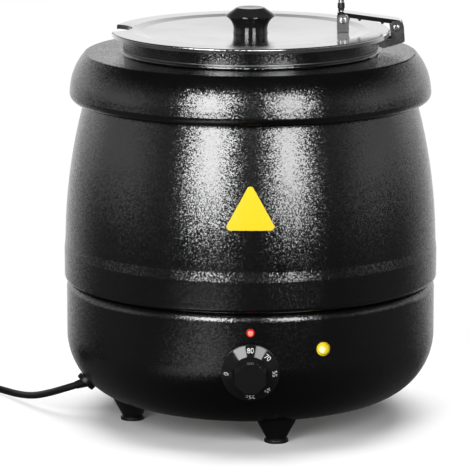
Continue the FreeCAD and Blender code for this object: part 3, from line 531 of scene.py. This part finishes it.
GLAND_AZIMUTH = 190.5
GLAND_OUT = falling(GLAND_AZIMUTH, 44.5)
NOSE_OUT = falling(160.0, 20.0)
GLAND_ROOT = around(GLAND_AZIMUTH, 108, 80)
GLAND_REACH = 63.6
NOSE_REACH = 9.4
CORD_EXIT = GLAND_ROOT + GLAND_OUT * GLAND_REACH + NOSE_OUT * NOSE_REACH
# Straight stretches out of the bush, into the coil and out of it
LEAD_STRAIGHT = 14.0
JOIN_RUN = 25.0
LEAVE_RUN = 13.0
LEAD_POINTS = [(-184.5, -4.0, 19.9), (-200.5, 18.0, 11.7), (-216.5, 45.0, 6.6)]
COIL_CENTRE = Vector((-286.2, 64.2, 4.9))
COIL_ENTRY = 41.3
COIL_ALL = 5 + (180 - COIL_ENTRY) / 360
LAYER_TURNS = (COIL_ALL - 0.5) / 2
COIL_INNER_R = 26.0
COIL_PITCH = 7.1
COIL_STEP = 7.0
COIL_POINTS = 24       # points in each turn
SHORT_TURN = 1e-4      # share of a turn over which the coil's heading is taken
TAIL_STEPS = [(-0.3, -27.0, 3.4), (0.0, -41.0, 6.6), (0.0, -54.0, 6.6)]


def coil_point(turn):
    """The middle of the cord after so many turns of the coil."""
    climb = turn - LAYER_TURNS
    if climb < 0:
        radius = COIL_INNER_R - COIL_PITCH * climb
        rise = 0
    elif climb < 0.5:
        radius = COIL_INNER_R - COIL_PITCH * (climb - 2 * climb ** 2)
        rise = COIL_STEP * (12 * climb ** 2 - 16 * climb ** 3)
    else:
        radius = COIL_INNER_R + COIL_PITCH * (climb - 0.5)
        rise = COIL_STEP
    angle = math.radians(COIL_ENTRY + 360 * turn)
    return COIL_CENTRE + Vector((radius * math.cos(angle), radius * math.sin(angle), rise))


def coil_heading(turn):
    return (coil_point(turn + SHORT_TURN) - coil_point(turn - SHORT_TURN)).normalized()


def cord_route():
    join = coil_point(0) - coil_heading(0) * CORD_DIAMETER
    leave = coil_point(COIL_ALL) + coil_heading(COIL_ALL) * CORD_DIAMETER
    points = [CORD_EXIT, CORD_EXIT + NOSE_OUT * LEAD_STRAIGHT] + [Vector(p) for p in LEAD_POINTS]
    points += [join - coil_heading(0) * JOIN_RUN, join]
    steps = round(COIL_ALL * COIL_POINTS)
    points += [coil_point(COIL_ALL * k / steps) for k in range(steps + 1)]
    points += [leave, leave + coil_heading(COIL_ALL) * LEAVE_RUN] + [leave + Vector(p) for p in TAIL_STEPS]
    return [p * MM for p in points]


class KETTLE_OT_cord(bpy.types.Operator):
    """The mains cord: down from its bush, along the floor and into a tied coil"""
    bl_idname = "kettle.cord"
    bl_label = "Mains cord"

    def execute(self, context):
        points = cord_route()
        line = bpy.data.curves.new("mains_cord", "CURVE")
        line.dimensions = "3D"
        line.bevel_depth = sizes().cord / 2
        line.bevel_resolution = 5
        line.resolution_u = 6
        line.use_fill_caps = True
        spline = line.splines.new("NURBS")
        spline.points.add(len(points) - 1)
        for slot, point in zip(spline.points, points):
            slot.co = (*point, 1.0)
        spline.order_u = 3
        spline.use_endpoint_u = True
        cord = bpy.data.objects.new("mains_cord", line)
        bpy.context.scene.collection.objects.link(cord)
        jacket = moulded("pvc_jacket_black", colours().jacket, srgb("#121213"), 0.9, 0.42, 0.55)
        line.materials.append(jacket)
        dress(["mains_plug"], jacket)
        dress(["plug_pins"], drawn_metal("brass_nickel_plated", srgb("#C9C6BE"), srgb("#B9B5AA"), 0.2, 0.32))
        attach(cord, "casing")
        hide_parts("cord_lead", "cord_coil", "cord_tail")
        return {"FINISHED"}


# Studio

CAMERA_SPOT = Vector((0, -3500, 852.4)) * MM
CAMERA_PITCH = math.radians(11.08)
CAMERA_LENS = 298.8
PHOTO_SIDE = 470       # pixels
CAMERA_SHIFT = -15.46 / PHOTO_SIDE
FLOOR_SIDE = 30        # metres
# A painted reflection of the left softbox, a bright patch of the table that only mirrors see: its middle once
# stretched, its stretch and its fade
PAINTED_SHEEN_SPOT = (-0.36, -0.47, 0.0)
PAINTED_SHEEN_SHAPE = (1.8, 1.0, 1.0)
PAINTED_SHEEN_FADE = (0.02, 0.3)
PAINTED_SHEEN_LEVEL = 0.8
# The floor's fade to plain white: its stretch, and the distances at which it starts and ends
PAPER_SHAPE = (1.7, 1.0, 1.0)
PAPER_FADE = (0.2, 0.5)
# How far back a direction points where the backdrop begins, and where it is whole
BACK_FADE = (0.75, 0.97)
# How far up a direction points where the walls begin to darken, and where they are as dark as the ceiling
WALL_FADE = (0.1, 0.6)
CEILING_LEVEL = 0.05
# Each light's name, place, aim, width and height in metres, power in watts, and whether metal mirrors it
SOFTBOXES = [("softbox_left", (-0.93, -1.96, 0.97), (0, 0, 0.35), 0.9, 1.42, 37, True),
             ("softbox_right", (0.91, -1.97, 0.97), (0, 0, 0.35), 0.76, 1.42, 26, True),
             ("overhead", (0.02, 0.36, 1.9), (0, 0, 0.0), 2.4, 2.4, 64, False)]


def softbox(name, spot, aim, wide, high, power, mirrored):
    """A rectangular light that faces the point it aims at."""
    light = bpy.data.lights.new(name, "AREA")
    light.shape = "RECTANGLE"
    light.size = wide
    light.size_y = high
    light.energy = power
    lamp = bpy.data.objects.new(name, light)
    lamp.location = spot
    lamp.rotation_euler = (Vector(aim) - Vector(spot)).to_track_quat("-Z", "Y").to_euler()
    lamp.visible_glossy = mirrored
    bpy.context.scene.collection.objects.link(lamp)


# Brightness of the room, and the painted brightness of the table that the kettle mirrors, from front to back
ROOM = [(0.0, 0.008), (0.2, 0.045), (0.32, 0.3), (0.43, 0.58), (0.55, 0.5), (0.68, 0.45), (0.82, 0.8),
        (0.97, 1.0)]
PAINTED_TABLE = [(0.0, 0.02), (0.2, 0.05), (0.38, 0.075), (0.6, 0.085), (0.68, 0.16), (0.75, 0.3), (0.84, 0.58),
         (0.97, 0.85)]


def surroundings(tree, depth, stops):
    """Brightness of the studio round the kettle, from its dark front at -1 to its white back at 1."""
    share = node(tree, "ShaderNodeMapRange", {"Value": depth, "From Min": -1.0, "From Max": 1.0})
    return node(tree, "ShaderNodeValToRGB", {"Fac": (share, "Result")}, stops=stops)


def backdrop_share(tree, depth, mirrored):
    """Where the white backdrop is seen: by the camera everywhere, in mirrors where it stands behind.

    In mirrors its strength is multiplied by mirrored, a number or a (node, output).
    """
    path = node(tree, "ShaderNodeLightPath")
    mirror = node(tree, "ShaderNodeMath", {0: (path, "Is Glossy Ray"), 1: (path, "Is Transmission Ray")},
                  operation="MAXIMUM")
    back = node(tree, "ShaderNodeMapRange", {"Value": depth, "From Min": BACK_FADE[0],
                                             "From Max": BACK_FADE[1]},
                interpolation_type="SMOOTHSTEP")
    behind = node(tree, "ShaderNodeMath", {0: (mirror, "Value"), 1: (back, "Result")}, operation="MULTIPLY")
    return node(tree, "ShaderNodeMath", {0: (behind, "Value"), 1: mirrored, 2: (path, "Is Camera Ray")},
                operation="MULTIPLY_ADD", use_clamp=True)


class KETTLE_OT_stage(bpy.types.Operator):
    """Pale floor, white surroundings, softboxes and the camera"""
    bl_idname = "kettle.stage"
    bl_label = "Studio"

    def execute(self, context):
        bpy.ops.object.select_all(action="DESELECT")
        bpy.ops.mesh.primitive_plane_add(size=FLOOR_SIDE)
        floor = started("studio_floor")
        material, tree, place = new_material("studio_paper_white")
        spread = node(tree, "ShaderNodeVectorMath", {0: (place, "Object"), 1: PAPER_SHAPE},
                      operation="MULTIPLY")
        away = node(tree, "ShaderNodeVectorMath", {0: (spread, "Vector")}, operation="LENGTH")
        far = node(tree, "ShaderNodeMapRange", {"Value": (away, "Value"), "From Min": PAPER_FADE[0],
                                                "From Max": PAPER_FADE[1]},
                   interpolation_type="SMOOTHSTEP")
        paper = node(tree, "ShaderNodeBsdfDiffuse", {"Color": srgb("#FAFAFA")})
        backdrop = node(tree, "ShaderNodeEmission", {"Color": (1, 1, 1, 1), "Strength": 1.0})
        seen = node(tree, "ShaderNodeMixShader", {0: (far, "Result"), 1: (paper, "BSDF"),
                                                  2: (backdrop, "Emission")})
        heading = node(tree, "ShaderNodeVectorMath", {0: (place, "Object")}, operation="NORMALIZE")
        turn = node(tree, "ShaderNodeSeparateXYZ", {"Vector": (heading, "Vector")})
        # In mirrors the table is painted light: an emission from dark in front to bright behind, in place of
        # the lit floor
        painted_table = node(tree, "ShaderNodeEmission", {"Color": (surroundings(tree, (turn, "Y"), PAINTED_TABLE), "Color")})
        # Painted reflection: a bright patch on the table, seen only in mirrors, in place of the left softbox
        # mirrored in it
        narrow = node(tree, "ShaderNodeVectorMath", {0: (place, "Object"), 1: PAINTED_SHEEN_SHAPE},
                      operation="MULTIPLY")
        patch = node(tree, "ShaderNodeVectorMath", {0: (narrow, "Vector"), 1: PAINTED_SHEEN_SPOT},
                     operation="DISTANCE")
        fade = node(tree, "ShaderNodeMapRange", {"Value": (patch, "Value"), "From Min": PAINTED_SHEEN_FADE[0],
                                                 "From Max": PAINTED_SHEEN_FADE[1], "To Min": PAINTED_SHEEN_LEVEL,
                                                 "To Max": 0.0}, interpolation_type="SMOOTHSTEP")
        glow = node(tree, "ShaderNodeEmission", {"Color": (1, 1, 1, 1), "Strength": (fade, "Result")})
        mirrored = node(tree, "ShaderNodeAddShader", {0: (painted_table, "Emission"), 1: (glow, "Emission")})
        shown = backdrop_share(tree, (turn, "Y"), 1.0)
        mix = node(tree, "ShaderNodeMixShader", {0: (shown, "Value"), 1: (mirrored, "Shader"),
                                                 2: (seen, "Shader")})
        node(tree, "ShaderNodeOutputMaterial", {"Surface": (mix, "Shader")})
        floor.data.materials.append(material)

        world = bpy.data.worlds.new("studio")
        world.use_nodes = True
        bpy.context.scene.world = world
        sky = world.node_tree
        sky.nodes.clear()
        where = node(sky, "ShaderNodeTexCoord")
        split = node(sky, "ShaderNodeSeparateXYZ", {"Vector": (where, "Generated")})
        round_about = surroundings(sky, (split, "Y"), ROOM)
        walls = node(sky, "ShaderNodeMapRange", {"Value": (split, "Z"), "From Min": WALL_FADE[0],
                                                 "From Max": WALL_FADE[1], "To Min": 1.0,
                                                 "To Max": CEILING_LEVEL}, interpolation_type="SMOOTHSTEP")
        behind_low = node(sky, "ShaderNodeMath", {0: (round_about, "Color"), 1: (walls, "Result")},
                          operation="MULTIPLY")
        shown = backdrop_share(sky, (split, "Y"), (walls, "Result"))
        level = node(sky, "ShaderNodeMath", {0: (behind_low, "Value"), 1: (shown, "Value")},
                     operation="MAXIMUM")
        glow = node(sky, "ShaderNodeBackground", {"Color": (1, 1, 1, 1), "Strength": (level, "Value")})
        node(sky, "ShaderNodeOutputWorld", {"Surface": (glow, "Background")})

        for light in SOFTBOXES:
            softbox(*light)

        lens = bpy.data.cameras.new("photo_view")
        lens.lens = CAMERA_LENS
        lens.sensor_width = 36
        lens.shift_x = CAMERA_SHIFT
        lens.clip_end = 50
        camera = bpy.data.objects.new("photo_view", lens)
        camera.location = CAMERA_SPOT
        camera.rotation_euler = (math.radians(90) - CAMERA_PITCH, 0, 0)
        bpy.context.scene.collection.objects.link(camera)
        bpy.context.scene.camera = camera
        bpy.context.scene.view_settings.view_transform = "Standard"
        return {"FINISHED"}


OPERATORS = [KETTLE_OT_casing, KETTLE_OT_steel, KETTLE_OT_plastics, KETTLE_OT_inside, KETTLE_OT_lamps,
             KETTLE_OT_dial_print, KETTLE_OT_front_plate, KETTLE_OT_cord, KETTLE_OT_stage]


class KETTLE_PT_sidebar(bpy.types.Panel):
    """Lists the kettle's pieces"""
    bl_idname = "KETTLE_PT_sidebar"
    bl_label = "Soup kettle"
    bl_space_type = "VIEW_3D"
    bl_region_type = "UI"
    bl_category = "Kettle"

    def draw(self, context):
        for operator in OPERATORS:
            self.layout.operator(operator.bl_idname)


CLASSES = [KettleColours, KettleSizes] + OPERATORS + [KETTLE_PT_sidebar]


def register():
    for item in CLASSES:
        bpy.utils.register_class(item)
    bpy.types.Scene.kettle_colours = bpy.props.PointerProperty(type=KettleColours)
    bpy.types.Scene.kettle_sizes = bpy.props.PointerProperty(type=KettleSizes)


def unregister():
    del bpy.types.Scene.kettle_sizes
    del bpy.types.Scene.kettle_colours
    for item in reversed(CLASSES):
        bpy.utils.unregister_class(item)


def main():
    register()
    bpy.ops.object.select_all(action="DESELECT")
    bpy.ops.kettle.casing()
    bpy.ops.kettle.steel()
    bpy.ops.kettle.plastics()
    bpy.ops.kettle.inside()
    bpy.ops.kettle.lamps()
    bpy.ops.kettle.dial_print()
    bpy.ops.kettle.front_plate()
    bpy.ops.kettle.cord()
    bpy.ops.kettle.stage()


if __name__ == "__main__":
    main()
